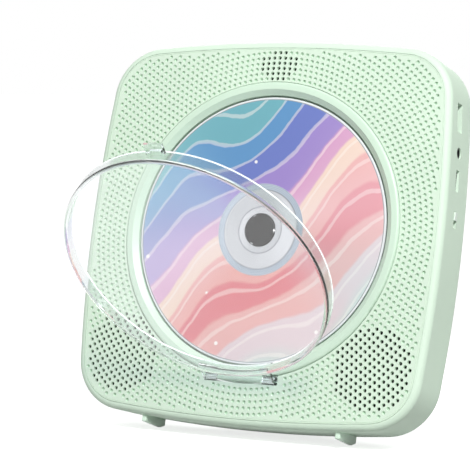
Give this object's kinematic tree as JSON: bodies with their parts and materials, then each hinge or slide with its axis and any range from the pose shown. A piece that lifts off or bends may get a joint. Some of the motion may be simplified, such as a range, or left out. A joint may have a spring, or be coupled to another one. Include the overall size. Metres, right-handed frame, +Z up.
{
  "type": "desktop disc player",
  "caption": "Rounded-square desktop disc player leaning back on a fold-out stand, with a round well under a clear hinged cover, a perforated front, side sockets and top keys.",
  "frame": {"origin": "middle of the whole part's footprint on the desk plane, with the cover and the stand open", "axes": "+X to the player's own right as seen from the front (the side with the sockets), +Y from the front to the back, +Z up; the body leans back about X"},
  "size_m": [0.174, 0.1624, 0.1738],
  "materials": {
    "mint_shell": "satin moulded plastic",
    "mint_panel": "fine matt plastic",
    "mint_tray": "smooth plastic",
    "mint_keys": "satin moulded plastic",
    "clear_cover": "clear polished plastic",
    "printed_disc": "glossy print on clear plastic",
    "hub_grey": "matt plastic",
    "steel": "bright steel",
    "motor_can": "drawn steel",
    "socket_shell": "nickel finish",
    "deck_black": "matt moulding",
    "soft_rubber": "soft rubber",
    "pickup_alloy": "die cast",
    "lens_holder": "matt moulding",
    "lens_glass": "coated lens",
    "speaker_frame": "black paint",
    "speaker_cone": "pressed cone",
    "speaker_magnet": "dull ferrite",
    "board_green": "solder mask",
    "chip_black": "moulded package",
    "cell_wrap": "foil pouch",
    "socket_black": "moulded plastic",
    "knob_pale": "smooth plastic",
    "foot_mint": "satin moulded plastic",
    "stand_mint": "satin moulded plastic"
  },
  "bodies": {
    "base": {"audio_jack": "socket_black", "battery_pack": "cell_wrap", "board_chips": "chip_black", "board_screws": "steel", "charge_socket": "socket_shell", "cover_screws": "steel", "deck_dampers": "soft_rubber", "deck_plate": "deck_black", "deck_screws": "steel", "disc_tray": "mint_tray", "foot_left": "foot_mint", "foot_right": "foot_mint", "front_panel": "mint_panel", "front_shell": "mint_shell", "guide_rods": "steel", "hinge_pins": "steel", "key_board": "board_green", "key_switches": "chip_black", "main_board": "board_green", "port_board": "board_green", "rear_cover": "mint_shell", "remote_receiver": "chip_black", "sled_motor": "motor_can", "speaker_cone_left": "speaker_cone", "speaker_cone_right": "speaker_cone", "speaker_frame_left": "speaker_frame", "speaker_frame_right": "speaker_frame", "speaker_magnet_left": "speaker_magnet", "speaker_magnet_right": "speaker_magnet", "spindle_motor": "motor_can", "stand_pin_rod": "steel", "switch_body": "socket_black", "tray_screws": "steel", "usb_socket": "socket_shell"},
    "cover": {"dust_cover": "clear_cover"},
    "rotor": {"disc": "printed_disc", "turntable": "hub_grey", "clamp_balls": "steel", "spindle_shaft": "steel"},
    "sled": {"pickup_body": "pickup_alloy"},
    "lens": {"lens_carrier": "lens_holder", "objective_lens": "lens_glass"},
    "screw": {"lead_screw": "steel"},
    "knob": {"switch_knob": "knob_pale"},
    "key_1": {"key_1": "mint_keys"},
    "key_2": {"key_2": "mint_keys"},
    "key_3": {"key_3": "mint_keys"},
    "key_4": {"key_4": "mint_keys"},
    "key_5": {"key_5": "mint_keys"},
    "stand": {"stand_leg": "stand_mint", "stand_pad": "soft_rubber"}
  },
  "joints": [
    {"name": "cover_hinge", "type": "hinge", "parent": "base", "child": "cover", "pos_m": [0, -0.00222, 0.02778], "axis": [1, 0, 0], "range_deg": [-51, 0]},
    {"name": "disc_spin", "type": "hinge", "parent": "base", "child": "rotor", "pos_m": [0, 0.01501, 0.09191], "axis": [0, -0.9646, 0.2639], "continuous": true},
    {"name": "sled_slide", "type": "slide", "parent": "base", "child": "sled", "axis": [1, 0, 0], "range_m": [0, 0.034]},
    {"name": "screw_turn", "type": "hinge", "parent": "base", "child": "screw", "pos_m": [0, 0.02269, 0.06389], "axis": [1, 0, 0], "range_deg": [-1, 4081]},
    {"name": "lens_focus", "type": "slide", "parent": "sled", "child": "lens", "axis": [0, -0.9646, 0.2639], "range_m": [-0.0004, 0.0004], "stiffness_N_per_m": 80},
    {"name": "power_slide", "type": "slide", "parent": "base", "child": "knob", "axis": [0, -0.2639, -0.9646], "range_m": [0, 0.0028]},
    {"name": "stand_hinge", "type": "hinge", "parent": "base", "child": "stand", "pos_m": [0, 0.02086, 0.01929], "axis": [1, 0, 0], "range_deg": [0, 90]},
    {"name": "key_1_press", "type": "slide", "parent": "base", "child": "key_1", "axis": [0, -0.2639, -0.9646], "range_m": [0, 0.0006], "stiffness_N_per_m": 600},
    {"name": "key_2_press", "type": "slide", "parent": "base", "child": "key_2", "axis": [0, -0.2639, -0.9646], "range_m": [0, 0.0006], "stiffness_N_per_m": 600},
    {"name": "key_3_press", "type": "slide", "parent": "base", "child": "key_3", "axis": [0, -0.2639, -0.9646], "range_m": [0, 0.0006], "stiffness_N_per_m": 600},
    {"name": "key_4_press", "type": "slide", "parent": "base", "child": "key_4", "axis": [0, -0.2639, -0.9646], "range_m": [0, 0.0006], "stiffness_N_per_m": 600},
    {"name": "key_5_press", "type": "slide", "parent": "base", "child": "key_5", "axis": [0, -0.2639, -0.9646], "range_m": [0, 0.0006], "stiffness_N_per_m": 600}
  ],
  "couplings": [
    {"joint": "screw_turn", "follows": "sled_slide", "rad_per_m": 2094.4}
  ]
}
